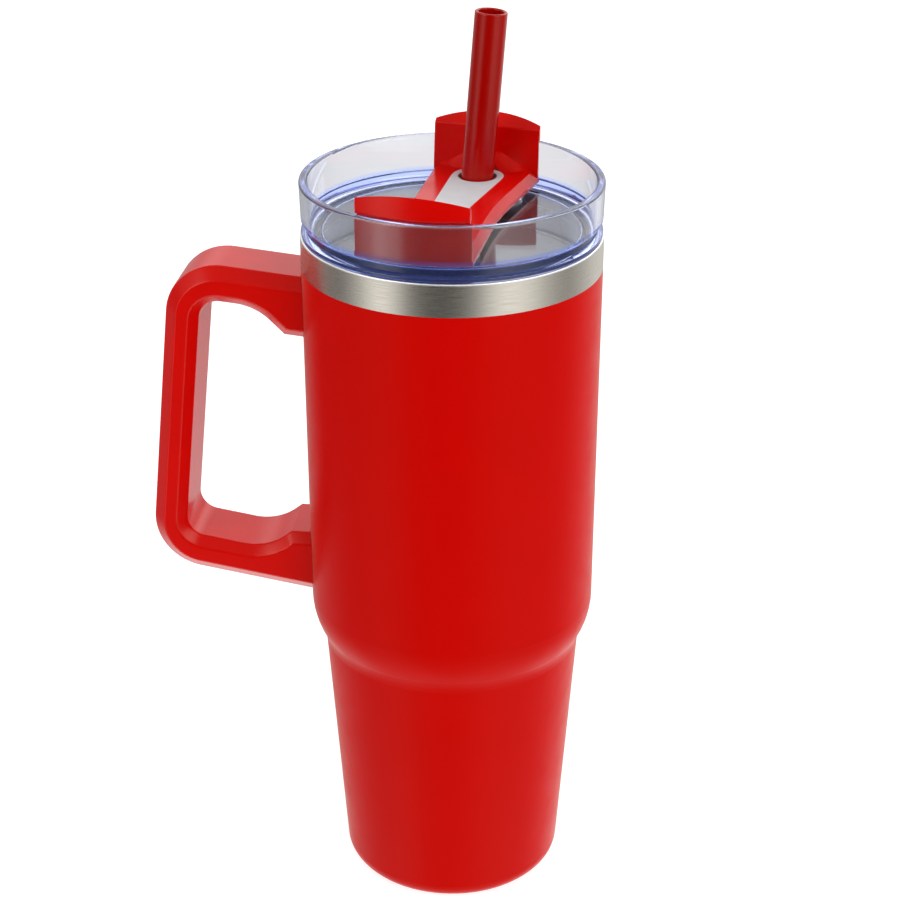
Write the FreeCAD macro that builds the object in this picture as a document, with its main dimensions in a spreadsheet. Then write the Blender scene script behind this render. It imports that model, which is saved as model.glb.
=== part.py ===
"""Insulated travel mug: vacuum cup with a side handle, clear lid, turning cover and straw.

Millimetres, +Z up.  The origin is the centre of the resting face and the handle points along -X.
"""

import FreeCAD
import Part
import Sketcher

import math
import os

from FreeCAD import Rotation, Vector

DIMENSIONS = {
    # cup, outside
    "base_radius": 38.4,
    "base_corner": 6.8,
    "waist_radius": 45.1,
    "waist_height": 94.0,
    "waist_blend": 12.0,
    "shoulder_radius": 49.45,
    "shoulder_height": 102.7,
    "shoulder_blend": 26.0,
    "mouth_radius": 50.0,
    "coat_top": 231.1,
    "lip_top": 242.2,
    # gap between pieces of the cup that rest on each other
    "seat_gap": 0.1,
    # cup walls, from the outside in
    "coat_thickness": 0.3,
    "shell_wall": 0.7,
    "vacuum_gap": 1.9,
    "liner_wall": 0.7,
    "liner_floor": 7.0,
    "liner_corner": 5.0,
    "foil_gap": 0.2,
    "foil_thickness": 0.3,
    "foil_bottom": 20.0,
    "foil_top": 226.0,
    # base
    "foot_radius": 31.4,
    "pad_radius": 29.0,
    "pad_thickness": 2.4,
    "base_wall": 0.9,
    "seal_radius": 3.4,
    "seal_stem_radius": 1.1,
    "seal_bead": 0.8,
    "getter_radius": 4.5,
    "getter_thickness": 1.8,
    "getter_offset": 13.0,
    # handle
    "handle_width": 28.1,
    "handle_outer_chamfer": 4.2,
    "handle_inner_chamfer": 3.3,
    "arm_thickness_top": 12.4,
    "arm_thickness_bottom": 12.8,
    "grip_thickness": 11.5,
    "handle_top_reach": 93.5,
    "handle_top_height": 232.1,
    "handle_bottom_reach": 105.5,
    "handle_bottom_height": 119.7,
    "arm_rise_top": 0.107,
    "arm_rise_bottom": 0.168,
    "handle_outer_corner": 18.5,
    "handle_inner_corner": 7.0,
    "root_inside": 43.0,
    "root_face": 55.2,
    "root_underside": 207.0,
    "root_topside": 132.9,
    "root_blend": 19.0,
    "root_spread_top": 9.5,
    "root_spread_bottom": 9.0,
    "handle_edge_round": 1.2,
    "handle_seat_gap": 0.05,
    # handle fixings
    "bracket_reach": 68.0,
    "bracket_width": 13.0,
    "bracket_height": 5.0,
    "upper_bracket_bottom": 219.4,
    "lower_bracket_bottom": 117.0,
    "bracket_play": 0.15,
    "screw_reach": 62.5,
    "screw_radius": 1.5,
    "screw_play": 0.2,
    "thread_play": 0.05,
    "screw_head_radius": 2.8,
    "screw_head_height": 1.8,
    "screw_seat": 2.3,
    "screw_length": 6.3,
    "screw_access": 10.0,
    # lid
    "lid_gap": 0.2,
    "lid_rim_top": 260.6,
    "lid_wall": 2.8,
    "lid_step": 0.4,
    "lid_lip_height": 1.2,
    "rim_round": 0.9,
    "lid_ledge": 247.6,
    "lid_neck_radius": 48.0,
    "lid_floor_top": 245.1,
    "lid_floor_thickness": 2.7,
    "lid_floor_blend": 2.0,
    "plug_radius": 45.6,
    "plug_wall": 2.6,
    "plug_bottom": 229.0,
    "gasket_bottom": 233.0,
    "gasket_height": 4.5,
    "gasket_depth": 1.6,
    "gasket_lip_gap": 0.12,
    # opening in the lid's floor
    "opening_radius": 31.2,
    "opening_half_width": 6.6,
    "cover_swing": 36.0,
    # turning cover
    "cover_azimuth": 80.5,
    "bridge_top": 251.0,
    "bridge_bottom": 247.0,
    "bridge_edge": 1.3,
    "bridge_taper": 36.0,
    "bridge_waist": 15.2,
    "bridge_end_width": 18.8,
    "bridge_waist_blend": 180.0,
    "ear_half_width": 18.5,
    "ear_wall_radius": 46.5,
    "ear_flange_radius": 48.4,
    "ear_flange_bottom": 261.1,
    "ear_inner_bottom": 41.5,
    "ear_inner_top": 43.1,
    "ear_inner_height": 265.0,
    "ear_crest": 269.2,
    "ear_draft": 0.5,
    "ear_top_round": 1.0,
    # gable-shaped gusset from the bridge up into an ear
    "gusset_half_width": 16.4,
    "gusset_foot": 38.0,
    "gusset_foot_rise": 0.4,
    "gusset_eaves": 0.3,
    "gusset_ridge": 9.6,
    "gusset_ridge_round": 6.0,
    "pivot_radius": 6.15,
    "pivot_play": 0.05,
    "pivot_bottom": 239.6,
    "hub_radius": 11.0,
    "hub_thickness": 0.9,
    "washer_play": 0.06,
    "clip_radius": 9.0,
    "clip_groove_radius": 5.2,
    "clip_thickness": 1.1,
    "clip_play": 0.05,
    # straw seal set into the cover
    "seal_ring_half_width": 8.8,
    "seal_neck_half_width": 6.4,
    "seal_depth": 1.4,
    "straw_hole_radius": 6.6,
    "grommet_wall": 1.0,
    "seal_neck_reach": 14.0,
    "grommet_stand": 0.8,
    "closure_pad_overlap": 0.9,
    "closure_pad_gap": 0.25,
    # straw
    "straw_radius": 5.5,
    "straw_wall": 1.2,
    "straw_top": 307.5,
    "straw_bottom": 12.0,
    "straw_lean": 4.4,
    "straw_lean_azimuth": 14.0,
}


class Size:
    """A length known both as a number and as an expression over the spreadsheet."""

    def __init__(self, value, text):
        self.value = value
        self.text = text

    @staticmethod
    def of(other):
        return other if isinstance(other, Size) else Size(float(other), repr(float(other)))

    def combine(self, other, sign, value):
        return Size(value, f"({self.text} {sign} {other.text})")

    def __add__(self, other):
        other = Size.of(other)
        return self.combine(other, "+", self.value + other.value)

    def __sub__(self, other):
        other = Size.of(other)
        return self.combine(other, "-", self.value - other.value)

    def __mul__(self, other):
        other = Size.of(other)
        return self.combine(other, "*", self.value * other.value)

    def __truediv__(self, other):
        other = Size.of(other)
        return self.combine(other, "/", self.value / other.value)

    def __rsub__(self, other):
        return Size.of(other) - self

    def __neg__(self):
        return Size(-self.value, f"(0 - {self.text})")


class Dimensions:
    """Reads the driving dimensions by name."""

    def __init__(self, sheet, table):
        for row, (name, value) in enumerate(table.items(), start=1):
            sheet.set(f"A{row}", name)
            sheet.set(f"B{row}", str(value))
            sheet.setAlias(f"B{row}", name)
            setattr(self, name, Size(value, f"{sheet.Name}.{name}"))


doc = FreeCAD.newDocument("travel_mug")
sheet = doc.addObject("Spreadsheet::Sheet", "Dims")
dim = Dimensions(sheet, DIMENSIONS)
doc.recompute()

ZERO = Size(0.0, "0")
SUB_PARTS = []
CUTS = ("PartDesign::Pocket", "PartDesign::Groove")
SMALLEST_CUT = 1.0
BRACKETS = (("upper", dim.upper_bracket_bottom), ("lower", dim.lower_bracket_bottom))


# ---------------------------------------------------------------- building blocks

def bind(target, path, size):
    """Drive a property by the spreadsheet."""
    target.setExpression(path, Size.of(size).text)


def new_body(name):
    body = doc.addObject("PartDesign::Body", name)
    body.Label = name
    SUB_PARTS.append(body)
    return body


def new_sketch(body, name, plane, height=None):
    """Sketch on one of the body's origin planes, raised by height along the plane's normal."""
    sketch = body.newObject("Sketcher::SketchObject", name)
    support = [item for item in body.Origin.OriginFeatures if item.Role == plane][0]
    sketch.AttachmentSupport = [(support, "")]
    sketch.MapMode = "FlatFace"
    if height is not None:
        bind(sketch, "AttachmentOffset.Base.z", height)
    doc.recompute()
    return sketch


def place_point(sketch, element, end, x, y):
    """Dimension one point of the sketch from its origin."""
    for kind, size, axis in (("DistanceX", x, -2), ("DistanceY", y, -1)):
        if size is ZERO:
            sketch.addConstraint(Sketcher.Constraint("PointOnObject", element, end, axis))
            continue
        index = sketch.addConstraint(Sketcher.Constraint(kind, -1, 1, element, end, size.value))
        bind(sketch, f"Constraints[{index}]", size)


def corner_cut(before, corner, after, radius):
    """Centre and tangent points of the arc that rounds a corner of a polygon."""
    to_before = (before - corner).normalize()
    to_after = (after - corner).normalize()
    half = to_before.getAngle(to_after) / 2
    reach = radius / math.tan(half)
    middle = (to_before + to_after).normalize()
    return (corner + middle * (radius / math.sin(half)),
            corner + to_before * reach, corner + to_after * reach)


def outline(sketch, corners):
    """Closed polygon of (x, y) or (x, y, rounding) corners, every size from the spreadsheet."""
    corners = [(Size.of(c[0]) if c[0] is not ZERO else ZERO,
                Size.of(c[1]) if c[1] is not ZERO else ZERO,
                c[2] if len(c) > 2 else None) for c in corners]
    count = len(corners)
    points = [Vector(x.value, y.value, 0) for x, y, _ in corners]
    starts, ends, centres = list(points), list(points), {}
    for i, (_, _, radius) in enumerate(corners):
        if radius is not None:
            centre, arrive, leave = corner_cut(points[i - 1], points[i], points[(i + 1) % count],
                                               radius.value)
            centres[i], ends[i], starts[i] = centre, arrive, leave
    lines = [sketch.addGeometry(Part.LineSegment(starts[i], ends[(i + 1) % count]), False)
             for i in range(count)]
    for i, (x, y, radius) in enumerate(corners):
        before, after = lines[i - 1], lines[i]
        if radius is None:
            sketch.addConstraint(Sketcher.Constraint("Coincident", before, 2, after, 1))
            place_point(sketch, after, 1, x, y)
            continue
        round_corner(sketch, (before, after), (points[i], centres[i], ends[i], starts[i]), (x, y, radius))
    return sketch


def round_corner(sketch, lines, places, sizes):
    """Arc tangent to two lines, whose own meeting point keeps its dimensions."""
    before, after = lines
    corner, centre, arrive, leave = places
    x, y, radius = sizes
    from_angle = math.atan2(arrive.y - centre.y, arrive.x - centre.x)
    to_angle = math.atan2(leave.y - centre.y, leave.x - centre.x)
    turn = (to_angle - from_angle) % (2 * math.pi)
    counter_clockwise = turn < math.pi
    first, last = (from_angle, to_angle) if counter_clockwise else (to_angle, from_angle)
    circle = Part.Circle(centre, Vector(0, 0, 1), radius.value)
    arc = sketch.addGeometry(Part.ArcOfCircle(circle, first, last), False)
    point = sketch.addGeometry(Part.Point(corner), True)
    arc_in, arc_out = (1, 2) if counter_clockwise else (2, 1)
    sketch.addConstraint(Sketcher.Constraint("PointOnObject", point, 1, before))
    sketch.addConstraint(Sketcher.Constraint("PointOnObject", point, 1, after))
    place_point(sketch, point, 1, x, y)
    index = sketch.addConstraint(Sketcher.Constraint("Radius", arc, radius.value))
    bind(sketch, f"Constraints[{index}]", radius)
    sketch.addConstraint(Sketcher.Constraint("Tangent", before, 2, arc, arc_in))
    sketch.addConstraint(Sketcher.Constraint("Tangent", arc, arc_out, after, 1))


def circle(sketch, radius, x=ZERO, y=ZERO):
    ring = sketch.addGeometry(Part.Circle(Vector(x.value, y.value, 0), Vector(0, 0, 1), radius.value), False)
    place_point(sketch, ring, 3, x, y)
    index = sketch.addConstraint(Sketcher.Constraint("Radius", ring, radius.value))
    bind(sketch, f"Constraints[{index}]", radius)
    return sketch


def feature(body, kind, name, sketch):
    item = body.newObject(kind, name)
    item.Profile = sketch
    body.Tip = item
    return item


def pad(body, name, sketch, length, middle=False):
    item = feature(body, "PartDesign::Pad", name, sketch)
    bind(item, "Length", length)
    item.Midplane = middle
    return item


def pocket(body, name, sketch, length, middle=False, upward=False):
    """Cut along the sketch's normal: downward, upward, or half each way."""
    item = feature(body, "PartDesign::Pocket", name, sketch)
    bind(item, "Length", length)
    item.Midplane = middle
    item.Reversed = upward
    return item


def turned(body, name, sketch, angle=360, kind="PartDesign::Revolution"):
    item = feature(body, kind, name, sketch)
    item.ReferenceAxis = (sketch, ["V_Axis"])
    bind(item, "Angle", angle)
    return item


def lathe(name, corners):
    """Body turned about Z from an outline of (radius, height) corners."""
    body = new_body(name)
    sketch = outline(new_sketch(body, f"{name}_profile", "XZ_Plane"), corners)
    turned(body, f"{name}_turned", sketch)
    return body


def volume_change(item):
    """How much a feature adds to its body, or takes away."""
    return item.Shape.Volume - item.BaseFeature.Shape.Volume


# ---------------------------------------------------------------- cup

def cup_side(inset, bottom, top, bottom_round=None):
    """Corners up the cup's side, inset from the outer surface, from bottom height to top height."""
    lower_slope = (dim.waist_radius - dim.base_radius) / dim.waist_height
    upper_slope = (dim.mouth_radius - dim.shoulder_radius) / (dim.coat_top - dim.shoulder_height)
    foot = (dim.base_radius + lower_slope * bottom - inset, bottom)
    return [
        foot if bottom_round is None else foot + (bottom_round,),
        (dim.waist_radius - inset, dim.waist_height, dim.waist_blend),
        (dim.shoulder_radius - inset, dim.shoulder_height, dim.shoulder_blend),
        (dim.mouth_radius - inset + upper_slope * (top - dim.coat_top), top),
    ]


def cup_wall(name, outer, inner, bottom, top):
    """Thin skin between two insets of the cup's side."""
    return lathe(name, cup_side(outer, bottom, top) + cup_side(inner, bottom, top)[::-1])


def powder_coat():
    coat = dim.coat_thickness
    outside = cup_side(ZERO, ZERO, dim.coat_top, dim.base_corner)
    inside = cup_side(coat, coat, dim.coat_top, dim.base_corner - coat)[::-1]
    foot = dim.foot_radius + dim.seat_gap * 4
    body = lathe("powder_coat", [(foot, ZERO)] + outside + inside + [(foot, coat)])
    for label, bottom in BRACKETS:
        cut_bracket_slot(body, label, bottom)
    return body


def rectangle(sketch, left, bottom, right, top):
    return outline(sketch, [(left, bottom), (right, bottom), (right, top), (left, top)])


def cut_bracket_slot(body, label, bottom):
    """Slot that a handle bracket passes through, along -X."""
    play = dim.bracket_play
    half = dim.bracket_width / 2 + play
    sketch = new_sketch(body, f"{body.Name}_{label}_slot", "YZ_Plane")
    rectangle(sketch, -half, bottom - play, half, bottom + dim.bracket_height + play)
    pocket(body, f"{body.Name}_{label}_slot_cut", sketch, dim.bracket_reach + play)


def outer_shell():
    """Steel outer wall, thicker by the coat where it is left bare under the lid."""
    coat = dim.coat_thickness
    wall = coat + dim.shell_wall
    top = dim.lip_top - dim.liner_wall
    foot = dim.foot_radius + dim.seat_gap
    outside = cup_side(coat, coat, dim.coat_top, dim.base_corner - coat)
    band = [(dim.mouth_radius, dim.coat_top), (dim.mouth_radius, top)]
    inside = cup_side(wall, wall, top, dim.base_corner - wall)[::-1]
    return lathe("outer_shell", [(foot, coat)] + outside + band + inside + [(foot, wall)])


def inner_liner():
    """Steel inner wall with its floor, and a rolled lip that closes the vacuum space."""
    outer = dim.coat_thickness + dim.shell_wall + dim.vacuum_gap
    inner = outer + dim.liner_wall
    floor = dim.liner_floor
    wall = dim.liner_wall
    below_lip = dim.lip_top - wall
    outside = cup_side(outer, floor - wall, below_lip, dim.liner_corner + wall)
    lip = [(dim.mouth_radius, below_lip), (dim.mouth_radius, dim.lip_top, wall * 0.8)]
    inside = cup_side(inner, floor, dim.lip_top, dim.liner_corner)[::-1]
    inside[0] = inside[0] + (wall * 0.6,)
    return lathe("inner_liner", [(ZERO, floor - wall)] + outside + lip + inside + [(ZERO, floor)])


def copper_foil():
    """Reflective wrap in the vacuum space, around the liner."""
    outer = dim.coat_thickness + dim.shell_wall + dim.vacuum_gap - dim.foil_thickness - dim.foil_gap
    return cup_wall("copper_foil", outer, outer + dim.foil_thickness, dim.foil_bottom, dim.foil_top)


def outer_base():
    """Pressed steel bottom: a foot ring around a raised disc."""
    foot = dim.foot_radius
    wall = dim.base_wall
    under = dim.pad_thickness + dim.seat_gap
    ring = dim.pad_radius + dim.seat_gap * 2
    return lathe("outer_base", [
        (dim.seal_stem_radius, under), (ring, under, wall * 0.5), (ring, ZERO, wall * 0.4),
        (foot, ZERO, wall * 0.4), (foot, under + wall, wall * 1.2), (dim.seal_stem_radius, under + wall)])


def base_pad():
    """Non-slip pad in the base's recess, with a hollow over the vacuum seal."""
    hollow = dim.seal_radius + dim.seal_stem_radius
    return lathe("base_pad", [
        (ZERO, ZERO), (dim.pad_radius, ZERO, dim.base_wall * 0.5), (dim.pad_radius, dim.pad_thickness),
        (hollow, dim.pad_thickness), (hollow, dim.pad_thickness / 2), (ZERO, dim.pad_thickness / 2)])


def vacuum_seal():
    """Bead that closes the hole through which the wall was emptied of air."""
    under = dim.pad_thickness + dim.seat_gap
    low, top = under - dim.seal_bead, under + dim.base_wall
    bead, stem = dim.seal_radius, dim.seal_stem_radius
    return lathe("vacuum_seal", [
        (ZERO, low), (bead, low, dim.seal_bead * 0.6), (bead, under),
        (stem, under), (stem, top), (ZERO, top)])


def getter():
    """Gas-absorbing pill on the bottom, inside the vacuum space."""
    pill = doc.addObject("Part::Cylinder", "getter")
    pill.Label = "getter"
    bind(pill, "Radius", dim.getter_radius)
    bind(pill, "Height", dim.getter_thickness)
    bind(pill, "Placement.Base.x", dim.getter_offset)
    bind(pill, "Placement.Base.z", dim.pad_thickness + dim.seat_gap + dim.base_wall)
    SUB_PARTS.append(pill)
    return pill


# ---------------------------------------------------------------- handle

def groove_cup(body, name, inset):
    """Hollow a body to the cup's side, or to a surface inset from it."""
    profile = cup_side(inset, ZERO, dim.lip_top)
    corners = [(ZERO, ZERO)] + profile + [(ZERO, dim.lip_top)]
    sketch = outline(new_sketch(body, f"{name}_profile", "XZ_Plane"), corners)
    return turned(body, name, sketch, kind="PartDesign::Groove")


def handle_corners():
    """Outline of the handle in (x, z): two arms, a grip, and roots that widen towards the cup."""
    rise_top, rise_bottom = dim.arm_rise_top, dim.arm_rise_bottom
    lean = (dim.handle_bottom_reach - dim.handle_top_reach) / (
        dim.handle_top_height - dim.handle_bottom_height)
    root, face = dim.root_inside, dim.root_face
    top_reach, bottom_reach = dim.handle_top_reach, dim.handle_bottom_reach
    inner_top_reach = top_reach - dim.grip_thickness + lean * dim.arm_thickness_top
    inner_bottom_reach = bottom_reach - dim.grip_thickness - lean * dim.arm_thickness_bottom
    inner_top = dim.handle_top_height - dim.arm_thickness_top - rise_top * dim.grip_thickness
    inner_bottom = dim.handle_bottom_height + dim.arm_thickness_bottom - rise_bottom * dim.grip_thickness
    blend_top, blend_bottom = face + dim.root_spread_top, face + dim.root_spread_bottom
    return [
        (-root, dim.handle_top_height - rise_top * (top_reach - root)),
        (-top_reach, dim.handle_top_height, dim.handle_outer_corner),
        (-bottom_reach, dim.handle_bottom_height, dim.handle_outer_corner),
        (-root, dim.handle_bottom_height - rise_bottom * (bottom_reach - root)),
        (-root, dim.root_topside),
        (-face, dim.root_topside),
        (-blend_bottom, inner_bottom - rise_bottom * (inner_bottom_reach - blend_bottom), dim.root_blend),
        (-inner_bottom_reach, inner_bottom, dim.handle_inner_corner),
        (-inner_top_reach, inner_top, dim.handle_inner_corner),
        (-blend_top, inner_top - rise_top * (inner_top_reach - blend_top), dim.root_blend),
        (-face, dim.root_underside),
        (-root, dim.root_underside - rise_top * (face - root)),
    ]


def side_edges(body, inner):
    """Names of the loop's edges on its two side faces, either round the opening or round the outside."""
    side = dim.handle_width.value / 2
    grip_middle = dim.handle_bottom_reach.value - dim.grip_thickness.value * 1.2
    low = dim.handle_bottom_height.value - dim.arm_thickness_bottom.value * 0.1
    high = dim.handle_top_height.value - dim.arm_thickness_top.value
    names = []
    for number, edge in enumerate(body.Tip.Shape.Edges, start=1):
        middle = edge.valueAt((edge.FirstParameter + edge.LastParameter) / 2)
        on_side = abs(middle.y) > side - 0.01
        at_root = edge.BoundBox.XMin > -dim.root_inside.value - 0.01
        facing_in = middle.x > -grip_middle and low < middle.z < high
        if on_side and not at_root and facing_in == inner:
            names.append(f"Edge{number}")
    return names


def ridge_edges(body):
    """Names of the handle's lengthwise edges, where chamfers meet the flat faces."""
    side = dim.handle_width.value / 2
    outer, inner = side - dim.handle_outer_chamfer.value, side - dim.handle_inner_chamfer.value
    names = []
    for number, edge in enumerate(body.Tip.Shape.Edges, start=1):
        box = edge.BoundBox
        lengthwise = box.YLength < 0.01 and box.XMin < -dim.root_inside.value - 0.01
        if lengthwise and min(abs(abs(box.YMin) - y) for y in (side, outer, inner)) < 0.01:
            names.append(f"Edge{number}")
    return names


def dress_edges(body, kind, name, edges, size):
    """Chamfer or fillet some edges of the body's last shape."""
    base = body.Tip
    item = body.newObject(f"PartDesign::{kind}", name)
    item.Base = (base, edges)
    bind(item, "Size" if kind == "Chamfer" else "Radius", size)
    body.Tip = item
    doc.recompute()
    return item


def handle():
    """Moulded loop of one chamfered section, slotted over the brackets."""
    body = new_body("handle")
    sketch = outline(new_sketch(body, "handle_outline", "XZ_Plane"), handle_corners())
    pad(body, "handle_loop", sketch, dim.handle_width, middle=True)
    doc.recompute()
    for label, size, inner in (("outer", dim.handle_outer_chamfer, False),
                               ("inner", dim.handle_inner_chamfer, True)):
        dress_edges(body, "Chamfer", f"handle_{label}_chamfer", side_edges(body, inner), size)
    dress_edges(body, "Fillet", "handle_soft_edges", ridge_edges(body), dim.handle_edge_round)
    groove_cup(body, "handle_seat", -dim.handle_seat_gap)
    for label, bottom in BRACKETS:
        cut_bracket_slot(body, label, bottom)
        seat = bottom - dim.bracket_play - dim.screw_seat
        low = seat - dim.screw_access
        through = dim.screw_access + dim.screw_seat + dim.screw_length
        bore, recess = dim.screw_radius + dim.screw_play, dim.screw_head_radius + dim.screw_play
        bore_upward(body, f"handle_{label}_bore", bore, low, through)
        bore_upward(body, f"handle_{label}_recess", recess, low, dim.screw_access)
    return body


def bore_upward(body, name, radius, bottom, depth):
    """Round hole along +Z at the screws' place."""
    sketch = new_sketch(body, f"{name}_circle", "XY_Plane", bottom)
    circle(sketch, radius, -dim.screw_reach, ZERO)
    return pocket(body, name, sketch, depth, upward=True)


def handle_bracket(label, bottom):
    """Steel tongue welded to the outer shell, tapped for the handle's screw."""
    body = new_body(f"{label}_handle_bracket")
    half = dim.bracket_width / 2
    sketch = new_sketch(body, f"{label}_tongue", "YZ_Plane")
    rectangle(sketch, -half, bottom, half, bottom + dim.bracket_height)
    pad(body, f"{label}_tongue_pad", sketch, dim.bracket_reach).Reversed = True
    groove_cup(body, f"{label}_weld_face", dim.coat_thickness)
    low = bottom - dim.bracket_play
    bore_upward(body, f"{label}_tapping", dim.screw_radius + dim.thread_play, low, dim.bracket_height)
    return body


def handle_screws():
    """Two pan-head screws that enter from below, one node."""
    pieces = []
    for label, bottom in BRACKETS:
        seat = bottom - dim.bracket_play - dim.screw_seat
        for piece, radius, low, length in (
                ("head", dim.screw_head_radius, seat - dim.screw_head_height, dim.screw_head_height),
                ("shank", dim.screw_radius, seat, dim.screw_length)):
            cylinder = doc.addObject("Part::Cylinder", f"{label}_screw_{piece}")
            bind(cylinder, "Radius", radius)
            bind(cylinder, "Height", length)
            bind(cylinder, "Placement.Base.x", -dim.screw_reach)
            bind(cylinder, "Placement.Base.z", low)
            pieces.append(cylinder)
    group = doc.addObject("Part::MultiFuse", "handle_screws")
    group.Label = "handle_screws"
    group.Shapes = pieces
    SUB_PARTS.append(group)
    return group


# ---------------------------------------------------------------- lid

def lid_body():
    """Clear moulding: tall rim, floor, neck that sits on the lip, and a plug with a gasket groove."""
    bottom = dim.lip_top + dim.lid_gap
    inner = dim.mouth_radius - dim.lid_wall
    neck, plug = dim.lid_neck_radius, dim.plug_radius
    groove = plug - dim.gasket_depth
    lip = dim.lid_lip_height
    ceiling = dim.lid_floor_top - dim.lid_floor_thickness
    plug_inner = plug - dim.plug_wall
    body = lathe("lid_body", [
        (dim.pivot_radius + dim.pivot_play, ceiling),
        (plug_inner, ceiling, dim.lid_floor_blend / 2),
        (plug_inner, dim.plug_bottom, dim.rim_round / 2),
        (plug, dim.plug_bottom, dim.rim_round),
        (plug, dim.gasket_bottom),
        (groove, dim.gasket_bottom),
        (groove, dim.gasket_bottom + dim.gasket_height),
        (plug, dim.gasket_bottom + dim.gasket_height),
        (plug, bottom),
        (dim.mouth_radius - dim.lid_step, bottom, lip * 0.3),
        (dim.mouth_radius - dim.lid_step, bottom + lip, lip * 0.3),
        (neck, bottom + lip * 1.6),
        (neck, dim.lid_ledge - lip * 0.3),
        (dim.mouth_radius - dim.lid_step, dim.lid_ledge, lip * 0.4),
        (dim.mouth_radius, dim.lid_rim_top, dim.rim_round),
        (inner, dim.lid_rim_top, dim.rim_round),
        (inner - dim.lid_step, dim.lid_floor_top, dim.lid_floor_blend),
        (dim.pivot_radius + dim.pivot_play, dim.lid_floor_top),
    ])
    low = dim.lid_floor_top - dim.lid_floor_thickness * 1.5
    arc_slot(body, "opening", dim.opening_half_width, low, dim.lid_floor_thickness * 2)
    bind(body, "Placement.Rotation.Angle", dim.cover_azimuth - dim.cover_swing / 2)
    return body


def arc_slot(body, name, half_width, low, height, cut=True):
    """Round-ended arc about Z, from local +X through the cover's swing, cut away or added."""
    radius = dim.opening_radius
    sketch = new_sketch(body, f"{name}_section", "XZ_Plane")
    rectangle(sketch, radius - half_width, low, radius + half_width, low + height)
    turned(body, f"{name}_sweep", sketch, dim.cover_swing,
           kind="PartDesign::Groove" if cut else "PartDesign::Revolution")
    for label, place in (("start", 0.0), ("end", math.radians(dim.cover_swing.value))):
        sketch = new_sketch(body, f"{name}_{label}_circle", "XY_Plane", low)
        circle(sketch, half_width, radius * math.cos(place), radius * math.sin(place) if place else ZERO)
        if cut:
            pocket(body, f"{name}_{label}", sketch, height, upward=True)
        else:
            pad(body, f"{name}_{label}", sketch, height)


def lid_gasket():
    """Silicone ring with two lips, in the plug's groove."""
    groove = dim.plug_radius - dim.gasket_depth
    low, high = dim.gasket_bottom, dim.gasket_bottom + dim.gasket_height
    wall = dim.coat_thickness + dim.shell_wall + dim.vacuum_gap + dim.liner_wall
    tip = dim.mouth_radius - wall - dim.gasket_lip_gap
    root = dim.plug_radius
    lip = dim.gasket_height * 0.2
    return lathe("lid_gasket", [
        (groove, low), (root, low), (tip, low + lip * 1.2, lip * 0.3), (root, low + lip * 2),
        (root, high - lip * 2), (tip, high - lip * 0.8, lip * 0.3), (root, high), (groove, high)])


# ---------------------------------------------------------------- turning cover

def at_cover(body):
    """Turn a body from the cover's own axes, with the straw end along +X, to its place."""
    bind(body, "Placement.Rotation.Angle", dim.cover_azimuth)
    return body


def mirrored(corners):
    """Corners and their mirror images across the sketch's vertical axis."""
    return [(-c[0],) + tuple(c[1:]) for c in corners[::-1]]


def ear_corners():
    """Section of an ear in (distance from the axis, height), its top sloping down to the inner face."""
    outside = dim.mouth_radius
    slope = (dim.ear_crest - dim.ear_inner_height) / (dim.ear_flange_radius - dim.ear_inner_top)
    return [
        (dim.ear_inner_bottom, dim.bridge_bottom),
        (outside, dim.bridge_bottom),
        (outside, dim.ear_crest + slope * (outside - dim.ear_flange_radius)),
        (dim.ear_inner_top, dim.ear_inner_height, dim.ear_top_round),
        (dim.ear_inner_bottom, dim.bridge_top),
    ]


def gable_corners(eaves, ridge, ridge_round):
    """Section across the bridge: a gable whose eaves and ridge stand over the bridge's top."""
    half, low, top = dim.gusset_half_width, dim.bridge_bottom + dim.bridge_edge, dim.bridge_top
    return [(-half, low), (half, low), (half, top + eaves), (ZERO, top + ridge, ridge_round),
            (-half, top + eaves)]


def gusset(body, label, side):
    """Gable that rises from the bridge into the ear on one side, +1 or -1, of the axis."""
    foot = gable_corners(-dim.gusset_foot_rise, dim.gusset_foot_rise, dim.gusset_ridge_round * 10)
    root = gable_corners(dim.gusset_eaves, dim.gusset_ridge, dim.gusset_ridge_round)
    reach = dim.ear_inner_bottom + dim.bridge_edge
    sketches = [outline(new_sketch(body, f"gusset_{label}_{end}", "YZ_Plane", place * side), corners)
                for end, place, corners in (("foot", dim.gusset_foot, foot), ("root", reach, root))]
    item = feature(body, "PartDesign::AdditiveLoft", f"gusset_{label}", sketches[0])
    item.Sections = sketches[1:]
    item.Ruled = True


def add_both_ways(body, name, corners, width):
    """Pad the same section at both ends of the cover."""
    for label, section in (("straw_end", corners), ("closed_end", mirrored(corners))):
        sketch = outline(new_sketch(body, f"{name}_{label}_section", "XZ_Plane"), section)
        pad(body, f"{name}_{label}", sketch, width, middle=True)


def bridge_corners():
    """Plan of the bridge: waisted along both long sides."""
    reach = dim.ear_inner_bottom + dim.bridge_edge
    return [
        (-reach, -dim.bridge_end_width), (ZERO, -dim.bridge_waist, dim.bridge_waist_blend),
        (reach, -dim.bridge_end_width), (reach, dim.bridge_end_width),
        (ZERO, dim.bridge_waist, dim.bridge_waist_blend), (-reach, dim.bridge_end_width)]


def trim_to_lid(body):
    """Turn the ears down to the lid's wall, leaving a flange that stands over the rim."""
    wall, flange = dim.ear_wall_radius, dim.ear_flange_radius
    outside = dim.mouth_radius * 1.3
    low, step, high = dim.bridge_bottom - dim.bridge_edge, dim.ear_flange_bottom, dim.ear_crest * 1.02
    sketch = outline(new_sketch(body, "ear_trim_profile", "XZ_Plane"), [
        (wall, low), (outside, low), (outside, high), (flange - dim.ear_draft, high),
        (flange, step + dim.ear_draft, dim.ear_top_round), (flange - dim.ear_draft, step), (wall, step)])
    return turned(body, "ear_trim", sketch, kind="PartDesign::Groove")


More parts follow.
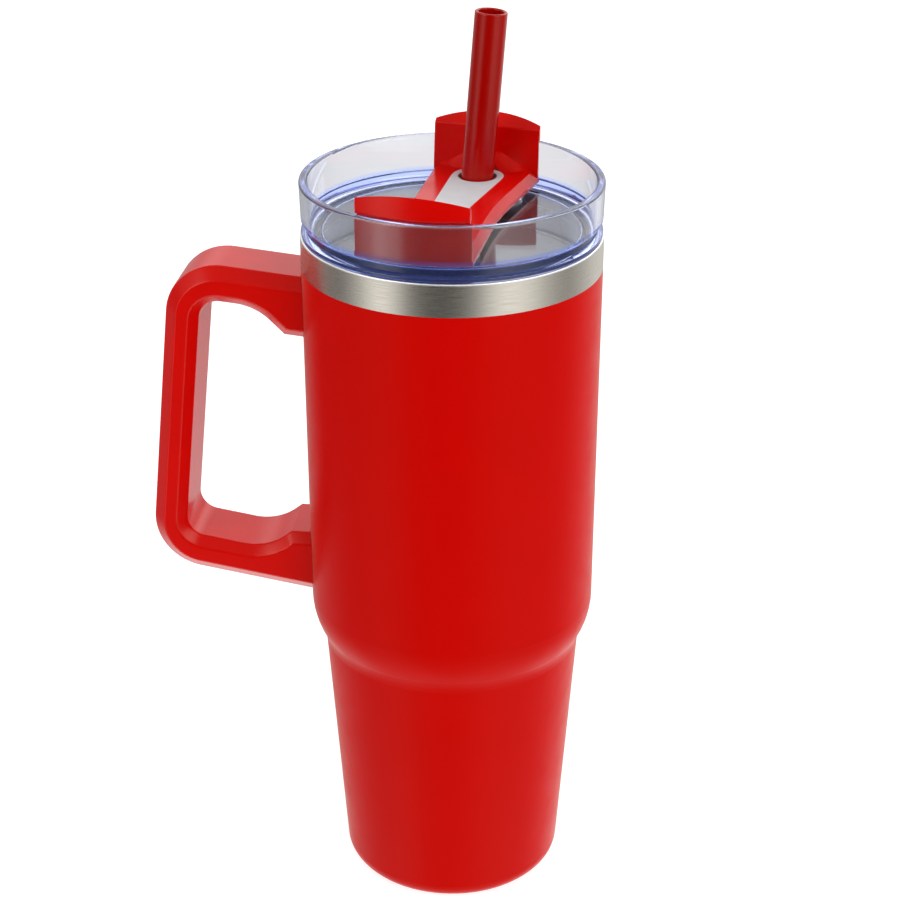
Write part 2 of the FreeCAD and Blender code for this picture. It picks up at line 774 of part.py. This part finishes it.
def seal_corners():
    """Plan of the straw seal: a ring that narrows slowly to a neck."""
    ring, neck = dim.seal_ring_half_width, dim.seal_neck_half_width
    far, near = dim.opening_radius + ring, -dim.seal_neck_reach
    shoulder = dim.opening_radius - ring * 0.2
    return [
        (near, -neck, neck * 0.9), (ZERO, -neck, ring * 5), (shoulder, -ring, ring * 1.5),
        (far, -ring, ring * 0.95), (far, ring, ring * 0.95),
        (shoulder, ring, ring * 1.5), (ZERO, neck, ring * 5), (near, neck, neck * 0.9)]


def cover():
    """Bridge with an upright ear at each end, on a stem that turns in the lid's floor."""
    body = new_body("cover")
    edge = dim.bridge_edge
    sketch = outline(new_sketch(body, "bridge_lower", "XY_Plane", dim.bridge_bottom), bridge_corners())
    pad(body, "bridge_slab", sketch, edge)
    sketch = outline(new_sketch(body, "bridge_upper", "XY_Plane", dim.bridge_bottom + edge), bridge_corners())
    bevel = pad(body, "bridge_bevel", sketch, dim.bridge_top - dim.bridge_bottom - edge)
    bind(bevel, "TaperAngle", -dim.bridge_taper)
    add_both_ways(body, "ear", ear_corners(), dim.ear_half_width * 2)
    gusset(body, "straw_end", 1)
    gusset(body, "closed_end", -1)
    trim_to_lid(body)
    sketch = outline(new_sketch(body, "stem_profile", "XZ_Plane"), stem_corners())
    turned(body, "stem", sketch)
    above_gusset = dim.bridge_top + dim.gusset_ridge
    sketch = outline(new_sketch(body, "seal_pocket_plan", "XY_Plane", above_gusset), seal_corners())
    pocket(body, "seal_pocket", sketch, dim.seal_depth + dim.gusset_ridge)
    sketch = new_sketch(body, "grommet_circle", "XY_Plane", dim.bridge_top)
    circle(sketch, dim.straw_hole_radius + dim.grommet_wall, dim.opening_radius, ZERO)
    pocket(body, "grommet_hole", sketch, dim.bridge_top - dim.bridge_bottom + dim.hub_thickness)
    return at_cover(body)


def stem_corners():
    """Hub under the bridge and its stem, grooved for the retaining clip."""
    stem, groove = dim.pivot_radius, dim.clip_groove_radius
    low = dim.pivot_bottom
    clip_low = low + dim.clip_thickness
    clip_high = clip_low + dim.clip_thickness + dim.clip_play * 2
    hub = dim.bridge_bottom - dim.hub_thickness
    return [
        (ZERO, low), (stem, low, dim.clip_thickness * 0.5), (stem, clip_low), (groove, clip_low),
        (groove, clip_high), (stem, clip_high), (stem, hub), (dim.hub_radius, hub),
        (dim.hub_radius, dim.bridge_bottom + dim.bridge_edge), (ZERO, dim.bridge_bottom + dim.bridge_edge)]


def pivot_clip():
    """Retaining clip under the lid's floor, open on one side."""
    low = dim.pivot_bottom + dim.clip_thickness + dim.clip_play
    high = low + dim.clip_thickness
    groove, edge = dim.clip_groove_radius + dim.clip_play, dim.clip_thickness * 0.3
    body = lathe("pivot_clip", [
        (groove, low), (dim.clip_radius, low, edge), (dim.clip_radius, high, edge), (groove, high)])
    sketch = new_sketch(body, "clip_gap", "XY_Plane", high)
    half = dim.clip_groove_radius * 0.7
    rectangle(sketch, -dim.clip_radius * 1.2, -half, -dim.clip_groove_radius * 0.2, half)
    pocket(body, "clip_gap_cut", sketch, dim.clip_thickness)
    return at_cover(body)


def pivot_washer():
    """Silicone washer between the hub and the lid's floor."""
    low = dim.lid_floor_top + dim.washer_play
    high = dim.bridge_bottom - dim.hub_thickness
    return at_cover(lathe("pivot_washer", [
        (dim.pivot_radius + dim.pivot_play, low), (dim.hub_radius - 0.2, low),
        (dim.hub_radius - 0.2, high), (dim.pivot_radius + dim.pivot_play, high)]))


def straw_seal():
    """Soft keyhole insert set flush in the bridge, with a grommet round the straw."""
    body = new_body("straw_seal")
    bottom = dim.bridge_top - dim.seal_depth
    sketch = outline(new_sketch(body, "seal_plan", "XY_Plane", bottom), seal_corners())
    pad(body, "seal_plate", sketch, dim.seal_depth)
    sketch = new_sketch(body, "grommet_outside", "XY_Plane", bottom)
    circle(sketch, dim.straw_hole_radius + dim.grommet_wall, dim.opening_radius, ZERO)
    pad(body, "grommet", sketch, bottom - dim.bridge_bottom + dim.grommet_stand).Reversed = True
    sketch = new_sketch(body, "straw_hole_circle", "XY_Plane", dim.bridge_top)
    circle(sketch, dim.straw_hole_radius, dim.opening_radius, ZERO)
    pocket(body, "straw_hole", sketch, dim.bridge_top - dim.bridge_bottom + dim.grommet_stand)
    return at_cover(body)


def closure_pad():
    """Soft arc-shaped pad under the closed end of the bridge, wide enough to cover the opening."""
    body = new_body("closure_pad")
    low = dim.lid_floor_top + dim.closure_pad_gap
    half = dim.opening_half_width + dim.closure_pad_overlap
    arc_slot(body, "pad", half, low, dim.bridge_bottom - low, cut=False)
    bind(body, "Placement.Rotation.Angle", dim.cover_azimuth + 180 - dim.cover_swing / 2)
    return body


# ---------------------------------------------------------------- straw

def straw():
    """Straight tube with rounded ends, leaning through the seal."""
    length = dim.straw_top - dim.straw_bottom
    inner, outer = dim.straw_radius - dim.straw_wall, dim.straw_radius
    lip = dim.straw_wall * 0.45
    low = dim.straw_bottom - dim.bridge_top
    body = lathe("straw", [
        (inner, low, lip), (outer, low, lip), (outer, low + length, lip), (inner, low + length, lip)])
    azimuth = math.radians(dim.straw_lean_azimuth.value)
    place = math.radians(dim.cover_azimuth.value)
    body.Placement.Rotation = Rotation(Vector(-math.sin(azimuth), math.cos(azimuth), 0), dim.straw_lean.value)
    bind(body, "Placement.Base.x", dim.opening_radius * math.cos(place))
    bind(body, "Placement.Base.y", dim.opening_radius * math.sin(place))
    bind(body, "Placement.Base.z", dim.bridge_top)
    return body


# ---------------------------------------------------------------- check and write

def check_document():
    doc.recompute()
    failed = [item.Name for item in doc.Objects if "Invalid" in item.State or "Error" in item.State]
    cuts = [item for item in doc.Objects if item.TypeId in CUTS]
    failed += [cut.Name for cut in cuts if volume_change(cut) > -SMALLEST_CUT]
    for part in SUB_PARTS:
        if part.Shape.isNull() or not part.Shape.isValid():
            failed.append(part.Label)
    if failed:
        raise RuntimeError(f"these objects are not sound: {failed}")


def write_parts():
    os.makedirs("parts", exist_ok=True)
    for part in SUB_PARTS:
        part.Shape.exportStep(f"parts/{part.Label}.step")
        box = part.Shape.BoundBox
        print(f"{part.Label:24s} solids {len(part.Shape.Solids)}  volume {part.Shape.Volume:10.1f}"
              f"  x {box.XMin:7.2f} {box.XMax:7.2f}  y {box.YMin:7.2f} {box.YMax:7.2f}"
              f"  z {box.ZMin:7.2f} {box.ZMax:7.2f}")


powder_coat()
outer_shell()
inner_liner()
copper_foil()
outer_base()
base_pad()
vacuum_seal()
getter()
for bracket_label, bracket_bottom in BRACKETS:
    handle_bracket(bracket_label, bracket_bottom)
handle()
handle_screws()
lid_body()
lid_gasket()
cover()
straw_seal()
closure_pad()
pivot_washer()
pivot_clip()
straw()
check_document()
write_parts()
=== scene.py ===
"""Looks of the insulated travel mug: finishes on the CAD pieces, floor, light and camera."""

import math

import bpy
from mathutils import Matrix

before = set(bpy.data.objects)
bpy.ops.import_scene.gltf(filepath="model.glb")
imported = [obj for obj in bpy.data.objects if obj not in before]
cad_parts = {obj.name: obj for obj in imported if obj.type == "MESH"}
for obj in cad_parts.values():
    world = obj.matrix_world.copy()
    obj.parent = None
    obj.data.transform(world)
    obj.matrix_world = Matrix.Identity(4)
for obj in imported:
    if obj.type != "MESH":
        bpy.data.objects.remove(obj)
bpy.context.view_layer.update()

MM = 0.001
CAMERA_AZIMUTH = math.radians(6.55)
NECK_TOP = 248.4 * MM
NECK_RADIUS = 46.6 * MM
NECK_FADE = 0.6 * MM
# strength of the painted blue glow (emission) in the lid's neck
PAINTED_NECK_GLOW = 0.058
WELD_GAP = 0.002 * MM
SOFT_ANGLE = math.radians(32)
SOFT_WEIGHT = 80


# ---------------------------------------------------------------- materials

class Finish:
    """A node material: one Principled shader, with colour, roughness and bump from its own nodes."""

    def __init__(self, name, color, roughness, **sockets):
        self.material = bpy.data.materials.new(name)
        self.material.use_nodes = True
        self.nodes = self.material.node_tree.nodes
        self.links = self.material.node_tree.links
        self.shader = self.nodes["Principled BSDF"]
        self.output = self.nodes["Material Output"]
        self.shader.inputs["Base Color"].default_value = (*color, 1)
        self.shader.inputs["Roughness"].default_value = roughness
        for socket, value in sockets.items():
            self.shader.inputs[socket.replace("_", " ")].default_value = value
        self.color = color
        self.normal = None
        self.place = self.nodes.new("ShaderNodeTexCoord").outputs["Object"]

    def noise(self, scale, detail=2.0, stretch=(1, 1, 1), vector=None):
        """Noise in metres: scale is features per metre, stretch scales each axis first."""
        mapping = self.nodes.new("ShaderNodeMapping")
        mapping.inputs["Scale"].default_value = stretch
        self.links.new(vector or self.place, mapping.inputs["Vector"])
        noise = self.nodes.new("ShaderNodeTexNoise")
        noise.inputs["Scale"].default_value = scale
        noise.inputs["Detail"].default_value = detail
        self.links.new(mapping.outputs["Vector"], noise.inputs["Vector"])
        return noise.outputs["Fac"]

    def around(self):
        """Point unrolled about the mug's axis: angle in radians as X, height as Z."""
        split = self.nodes.new("ShaderNodeSeparateXYZ")
        self.links.new(self.place, split.inputs[0])
        angle = self.nodes.new("ShaderNodeMath")
        angle.operation = "ARCTAN2"
        self.links.new(split.outputs["Y"], angle.inputs[0])
        self.links.new(split.outputs["X"], angle.inputs[1])
        join = self.nodes.new("ShaderNodeCombineXYZ")
        self.links.new(angle.outputs[0], join.inputs["X"])
        self.links.new(split.outputs["Z"], join.inputs["Z"])
        return join.outputs[0]

    def inside_neck(self):
        """Factor of 1 in the lid's neck, under the ledge and outside the plug, 0 elsewhere."""
        split = self.nodes.new("ShaderNodeSeparateXYZ")
        self.links.new(self.place, split.inputs[0])
        flat = self.nodes.new("ShaderNodeVectorMath")
        flat.operation = "MULTIPLY"
        flat.inputs[1].default_value = (1, 1, 0)
        self.links.new(self.place, flat.inputs[0])
        radius = self.nodes.new("ShaderNodeVectorMath")
        radius.operation = "LENGTH"
        self.links.new(flat.outputs["Vector"], radius.inputs[0])
        both = self.nodes.new("ShaderNodeMath")
        both.operation = "MULTIPLY"
        edges = ((split.outputs["Z"], NECK_TOP + NECK_FADE, NECK_TOP),
                 (radius.outputs["Value"], NECK_RADIUS - NECK_FADE, NECK_RADIUS))
        for socket, (value, start, end) in zip(both.inputs, edges):
            step = self.nodes.new("ShaderNodeMapRange")
            step.inputs["From Min"].default_value = start
            step.inputs["From Max"].default_value = end
            self.links.new(value, step.inputs["Value"])
            self.links.new(step.outputs["Result"], socket)
        return both.outputs[0]

    def spread(self, factor, low, high):
        """Stretch the middle of a 0 to 1 factor onto low to high."""
        node = self.nodes.new("ShaderNodeMapRange")
        node.inputs["From Min"].default_value = 0.3
        node.inputs["From Max"].default_value = 0.7
        node.inputs["To Min"].default_value = low
        node.inputs["To Max"].default_value = high
        self.links.new(factor, node.inputs["Value"])
        return node.outputs["Result"]

    def shade(self, factor, other):
        """Colour runs from the finish's own to another by a factor."""
        mix = self.nodes.new("ShaderNodeMix")
        mix.data_type = "RGBA"
        mix.inputs["A"].default_value = (*self.color, 1)
        mix.inputs["B"].default_value = (*other, 1)
        self.links.new(self.spread(factor, 0, 1), mix.inputs["Factor"])
        self.links.new(mix.outputs["Result"], self.shader.inputs["Base Color"])
        return self

    def polish(self, factor, low, high):
        """Roughness varies from low to high by a factor."""
        self.links.new(self.spread(factor, low, high), self.shader.inputs["Roughness"])
        return self

    def bump(self, height, depth, strength=1.0):
        """Raise the surface by a height factor, depth in metres; calls add up."""
        bump = self.nodes.new("ShaderNodeBump")
        bump.inputs["Distance"].default_value = depth
        bump.inputs["Strength"].default_value = strength
        self.links.new(height, bump.inputs["Height"])
        if self.normal:
            self.links.new(self.normal, bump.inputs["Normal"])
        self.normal = bump.outputs["Normal"]
        self.links.new(self.normal, self.shader.inputs["Normal"])
        return self


def powder_coat():
    """Satin red powder coat: fine pebble, faint cloudiness."""
    finish = Finish("powder_coat_red", (0.54, 0.001, 0.0002), 0.36, Specular_IOR_Level=0.05,
                    Specular_Tint=(1, 0.7, 0.45, 1), Sheen_Weight=0.34, Sheen_Roughness=0.22,
                    Sheen_Tint=(1, 0.8, 0.62, 1))
    finish.shade(finish.noise(60, 3), (0.525, 0.0009, 0.0001))
    finish.polish(finish.noise(140, 3), 0.34, 0.42)
    finish.bump(finish.noise(1800, 2), 0.00004, 0.35)
    return finish


def moulded_plastic(name, color, other, roughness, grain, specular=0.5):
    """Coloured moulding with a faint surface ripple."""
    finish = Finish(name, color, roughness, Specular_IOR_Level=specular, Specular_Tint=(1, 0.8, 0.68, 1))
    finish.shade(finish.noise(90, 2), other)
    finish.bump(finish.noise(260, 1), grain, 0.3)
    return finish


def brushed_steel(name, color, roughness):
    """Steel brushed round the axis: fine lines along the circumference, reflections drawn out upright."""
    finish = Finish(name, color, roughness, Metallic=1.0, Anisotropic=0.75)
    tangent = finish.nodes.new("ShaderNodeTangent")
    tangent.direction_type = "RADIAL"
    tangent.axis = "Z"
    finish.links.new(tangent.outputs[0], finish.shader.inputs["Tangent"])
    lines = finish.noise(1.0, 3, (6, 1, 9000), finish.around())
    finish.shade(lines, tuple(c * 0.82 for c in color))
    finish.polish(lines, roughness * 0.8, roughness * 1.3)
    finish.bump(lines, 0.00002, 0.3)
    return finish


def clear_plastic():
    """Clear lid plastic, faintly blue in its depth and tinted bluer in the thick neck, where a faint blue
    emission paints a glow that stands in for light gathered by the moulding.
    """
    finish = Finish("lid_clear", (0.885, 0.893, 0.89), 0.02, Transmission_Weight=0.985, IOR=1.49,
                    Emission_Color=(0.15, 0.25, 1.0, 1))
    tint = finish.nodes.new("ShaderNodeMix")
    tint.data_type = "RGBA"
    tint.inputs["A"].default_value = (*finish.color, 1)
    tint.inputs["B"].default_value = (0.62, 0.72, 1.0, 1)
    finish.links.new(finish.inside_neck(), tint.inputs["Factor"])
    finish.links.new(tint.outputs["Result"], finish.shader.inputs["Base Color"])
    # painted glow: a faint blue emission in the lid's neck, though the lid is no lamp
    glow = finish.nodes.new("ShaderNodeMath")
    glow.operation = "MULTIPLY"
    glow.inputs[1].default_value = PAINTED_NECK_GLOW
    finish.links.new(finish.inside_neck(), glow.inputs[0])
    finish.links.new(glow.outputs[0], finish.shader.inputs["Emission Strength"])
    finish.polish(finish.noise(200, 2), 0.01, 0.035)
    finish.bump(finish.noise(45, 1), 0.00005, 0.12)
    absorb = finish.nodes.new("ShaderNodeVolumeAbsorption")
    absorb.inputs["Color"].default_value = (0.36, 0.44, 1.0, 1)
    absorb.inputs["Density"].default_value = 30.0
    finish.links.new(absorb.outputs[0], finish.output.inputs["Volume"])
    return finish


def silicone(name, color, roughness):
    """Soft rubbery finish with a dusting of fine grain."""
    finish = Finish(name, color, roughness, Specular_IOR_Level=0.4, Sheen_Weight=0.15)
    finish.shade(finish.noise(250, 3), tuple(c * 0.94 for c in color))
    finish.bump(finish.noise(2500, 2), 0.00003, 0.3)
    return finish


def plain_metal(name, color, roughness):
    """Turned or pressed metal with a light grain."""
    finish = Finish(name, color, roughness, Metallic=1.0)
    finish.shade(finish.noise(400, 3), tuple(c * 0.85 for c in color))
    finish.polish(finish.noise(900, 2), roughness * 0.8, roughness * 1.3)
    finish.bump(finish.noise(1500, 2), 0.00002, 0.3)
    return finish


RED_PLASTIC = (0.61, 0.0013, 0.0002)
RED_PLASTIC_DEEP = (0.58, 0.0011, 0.0002)

band_steel = brushed_steel("band_steel", (0.66, 0.62, 0.54), 0.24)
liner_steel = brushed_steel("liner_steel", (0.84, 0.84, 0.83), 0.34)
grey_silicone = silicone("grey_silicone", (0.52, 0.535, 0.555), 0.38)
gasket_silicone = silicone("gasket_silicone", (0.80, 0.81, 0.80), 0.45)
fixing_steel = plain_metal("fixing_steel", (0.60, 0.60, 0.60), 0.3)

FINISHES = {
    "powder_coat": powder_coat(),
    "outer_shell": band_steel,
    "inner_liner": liner_steel,
    "copper_foil": plain_metal("copper_foil", (0.80, 0.42, 0.28), 0.22),
    "outer_base": brushed_steel("base_steel", (0.62, 0.60, 0.57), 0.3),
    "base_pad": silicone("base_rubber", (0.02, 0.02, 0.021), 0.6),
    "vacuum_seal": plain_metal("seal_bead", (0.35, 0.36, 0.34), 0.35),
    "getter": plain_metal("getter_alloy", (0.42, 0.42, 0.41), 0.5),
    "upper_handle_bracket": fixing_steel,
    "lower_handle_bracket": fixing_steel,
    "handle": moulded_plastic("handle_red", RED_PLASTIC, RED_PLASTIC_DEEP, 0.24, 0.00003, specular=0.26),
    "handle_screws": plain_metal("screw_steel", (0.72, 0.72, 0.72), 0.2),
    "lid_body": clear_plastic(),
    "lid_gasket": gasket_silicone,
    "cover": moulded_plastic("cover_red", RED_PLASTIC, RED_PLASTIC_DEEP, 0.2, 0.00002, specular=0.26),
    "straw_seal": grey_silicone,
    "closure_pad": grey_silicone,
    "pivot_washer": gasket_silicone,
    "pivot_clip": moulded_plastic("clip_acetal", (0.78, 0.77, 0.74), (0.72, 0.71, 0.68), 0.4, 0.00002),
    "straw": moulded_plastic("straw_red", (0.35, 0.001, 0.0001), (0.33, 0.0009, 0.0001), 0.2, 0.00001,
                             specular=0.3),
}


# moulded pieces with rounded edges
SOFT_EDGED = ("handle", "cover", "straw_seal", "closure_pad")


def dress_nodes():
    """Give every CAD piece its finish."""
    for name, finish in FINISHES.items():
        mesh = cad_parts[name].data
        mesh.materials.clear()
        mesh.materials.append(finish.material)
    for name in SOFT_EDGED:
        soften(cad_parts[name])


def soften(piece):
    """Shade rounded edges by face area, so that flat faces stay flat."""
    weld = piece.modifiers.new("weld", "WELD")
    weld.merge_threshold = WELD_GAP
    split = piece.modifiers.new("split", "EDGE_SPLIT")
    split.split_angle = SOFT_ANGLE
    piece.modifiers.new("shade", "WEIGHTED_NORMAL").weight = SOFT_WEIGHT


# ---------------------------------------------------------------- floor, light and camera

def floor():
    """Pale paper floor, seen directly only."""
    half = 8.0
    mesh = bpy.data.meshes.new("floor")
    corners = [(-half, -half, 0), (half, -half, 0), (half, half, 0), (-half, half, 0)]
    mesh.from_pydata(corners, [], [(0, 1, 2, 3)])
    plane = bpy.data.objects.new("floor", mesh)
    bpy.context.scene.collection.objects.link(plane)
    finish = Finish("floor_paper", (0.42, 0.42, 0.42), 0.8, Specular_IOR_Level=0.0,
                    Emission_Color=(1, 1, 1, 1), Emission_Strength=0.8)
    finish.shade(finish.noise(3, 2), (0.415, 0.415, 0.416))
    mesh.materials.append(finish.material)
    plane.visible_diffuse = False
    plane.visible_glossy = False
    plane.visible_transmission = False


# brightness of the room by angle in degrees, 0 in front of the mug and positive to the right:
# a softbox on each side of the front, dark cards between and beside them, dimmer light behind
ROOM = [
    (-180, 0.45), (-150, 0.55), (-122, 0.5), (-104, 0.22), (-92, 0.14), (-80, 0.32), (-68, 0.78), (-57, 1.6),
    (-45, 1.15), (-33, 0.15), (-20, 0.05), (4, 0.05), (18, 0.25), (30, 1.1), (42, 1.4), (58, 1.1), (78, 0.5),
    (97, 0.28), (112, 0.6), (128, 0.9), (150, 0.95), (170, 0.5), (180, 0.45)]
# elevations in degrees over which each zone sets in, and its brightness or gain
UNDERFOOT = (-60, -20)
FLOOR_GLOW = 1.25
RAISED = (5, 20)
RAISED_GAIN = 3.2
OVERHEAD = (42, 58)
CEILING = 0.45


def elevation_step(nodes, links, height, start, end, low, high):
    """Value that runs smoothly from low to high between two elevations in degrees."""
    step = nodes.new("ShaderNodeMapRange")
    step.interpolation_type = "SMOOTHSTEP"
    step.inputs["From Min"].default_value = math.sin(math.radians(start))
    step.inputs["From Max"].default_value = math.sin(math.radians(end))
    step.inputs["To Min"].default_value = low
    step.inputs["To Max"].default_value = high
    links.new(height, step.inputs["Value"])
    return step.outputs["Result"]


def room_ramp(nodes):
    """Colour ramp over one turn, scaled to its brightest stop, with that stop's brightness."""
    ramp = nodes.new("ShaderNodeValToRGB")
    ramp.color_ramp.interpolation = "EASE"
    stops = ramp.color_ramp.elements
    stops.remove(stops[1])
    brightest = max(glow for _, glow in ROOM)
    for index, (degrees, glow) in enumerate(ROOM):
        stop = stops[0] if index == 0 else stops.new(degrees / 360 + 0.5)
        stop.position = degrees / 360 + 0.5
        stop.color = (*[glow / brightest] * 3, 1)
    return ramp, brightest


def seen_straight(nodes, links):
    """Factor of 1 for rays from the eye, straight or through clear pieces only, 0 for reflected light."""
    path = nodes.new("ShaderNodeLightPath")
    bounces = nodes.new("ShaderNodeMath")
    bounces.operation = "ADD"
    links.new(path.outputs["Glossy Depth"], bounces.inputs[0])
    links.new(path.outputs["Diffuse Depth"], bounces.inputs[1])
    unreflected = nodes.new("ShaderNodeMath")
    unreflected.operation = "LESS_THAN"
    unreflected.inputs[1].default_value = 0.5
    links.new(bounces.outputs[0], unreflected.inputs[0])
    through = nodes.new("ShaderNodeMath")
    through.operation = "MULTIPLY_ADD"
    through.use_clamp = True
    links.new(unreflected.outputs[0], through.inputs[0])
    links.new(path.outputs["Is Transmission Ray"], through.inputs[1])
    links.new(path.outputs["Is Camera Ray"], through.inputs[2])
    return through.outputs[0]


def bearing(nodes, links):
    """Direction of a ray: its angle about the mug as a part of a turn, and its height from -1 to 1."""
    turned = nodes.new("ShaderNodeMapping")
    turned.inputs["Rotation"].default_value = (0, 0, math.pi / 2 - CAMERA_AZIMUTH)
    links.new(nodes.new("ShaderNodeTexCoord").outputs["Generated"], turned.inputs["Vector"])
    way = nodes.new("ShaderNodeSeparateXYZ")
    links.new(turned.outputs["Vector"], way.inputs[0])
    angle = nodes.new("ShaderNodeMath")
    angle.operation = "ARCTAN2"
    links.new(way.outputs["Y"], angle.inputs[0])
    links.new(way.outputs["X"], angle.inputs[1])
    turn = nodes.new("ShaderNodeMapRange")
    turn.inputs["From Min"].default_value = -math.pi
    turn.inputs["From Max"].default_value = math.pi
    links.new(angle.outputs[0], turn.inputs["Value"])
    return turn.outputs["Result"], way.outputs["Z"]


def studio_light():
    """Softboxes and dark cards over a bright floor; seen straight or through clear pieces it is white."""
    world = bpy.data.worlds.new("studio")
    world.use_nodes = True
    nodes, links = world.node_tree.nodes, world.node_tree.links
    background = nodes["Background"]
    turn, height = bearing(nodes, links)
    ramp, brightest = room_ramp(nodes)
    links.new(turn, ramp.inputs["Fac"])
    raised = nodes.new("ShaderNodeVectorMath")
    raised.operation = "SCALE"
    links.new(ramp.outputs["Color"], raised.inputs[0])
    links.new(elevation_step(nodes, links, height, *RAISED, 1, RAISED_GAIN), raised.inputs["Scale"])
    ceiling = nodes.new("ShaderNodeMix")
    ceiling.data_type = "RGBA"
    links.new(elevation_step(nodes, links, height, *OVERHEAD, 0, 1), ceiling.inputs["Factor"])
    links.new(raised.outputs["Vector"], ceiling.inputs["A"])
    ceiling.inputs["B"].default_value = (*[CEILING / brightest] * 3, 1)
    below = nodes.new("ShaderNodeVectorMath")
    below.operation = "ADD"
    links.new(ceiling.outputs["Result"], below.inputs[0])
    floor_light = elevation_step(nodes, links, height, *UNDERFOOT, FLOOR_GLOW / brightest, 0)
    links.new(floor_light, below.inputs[1])
    plain = nodes.new("ShaderNodeMix")
    plain.data_type = "RGBA"
    links.new(seen_straight(nodes, links), plain.inputs["Factor"])
    links.new(below.outputs["Vector"], plain.inputs["A"])
    plain.inputs["B"].default_value = (*[1 / brightest] * 3, 1)
    links.new(plain.outputs["Result"], background.inputs["Color"])
    background.inputs["Strength"].default_value = brightest
    bpy.context.scene.world = world


def camera():
    """Two thirds of a metre in front, looking down on the mug, handle to the left."""
    data = bpy.data.cameras.new("camera")
    data.sensor_width = 36.0
    data.lens = 84.94
    data.shift_x = -0.0023
    eye = bpy.data.objects.new("camera", data)
    bpy.context.scene.collection.objects.link(eye)
    distance, height, pitch = 0.6615, 0.4768, math.radians(25.44)
    eye.location = (distance * math.sin(CAMERA_AZIMUTH), -distance * math.cos(CAMERA_AZIMUTH), height)
    eye.rotation_euler = (math.pi / 2 - pitch, 0, CAMERA_AZIMUTH)
    bpy.context.scene.camera = eye


dress_nodes()
floor()
studio_light()
camera()
bpy.context.scene.view_settings.view_transform = "Standard"
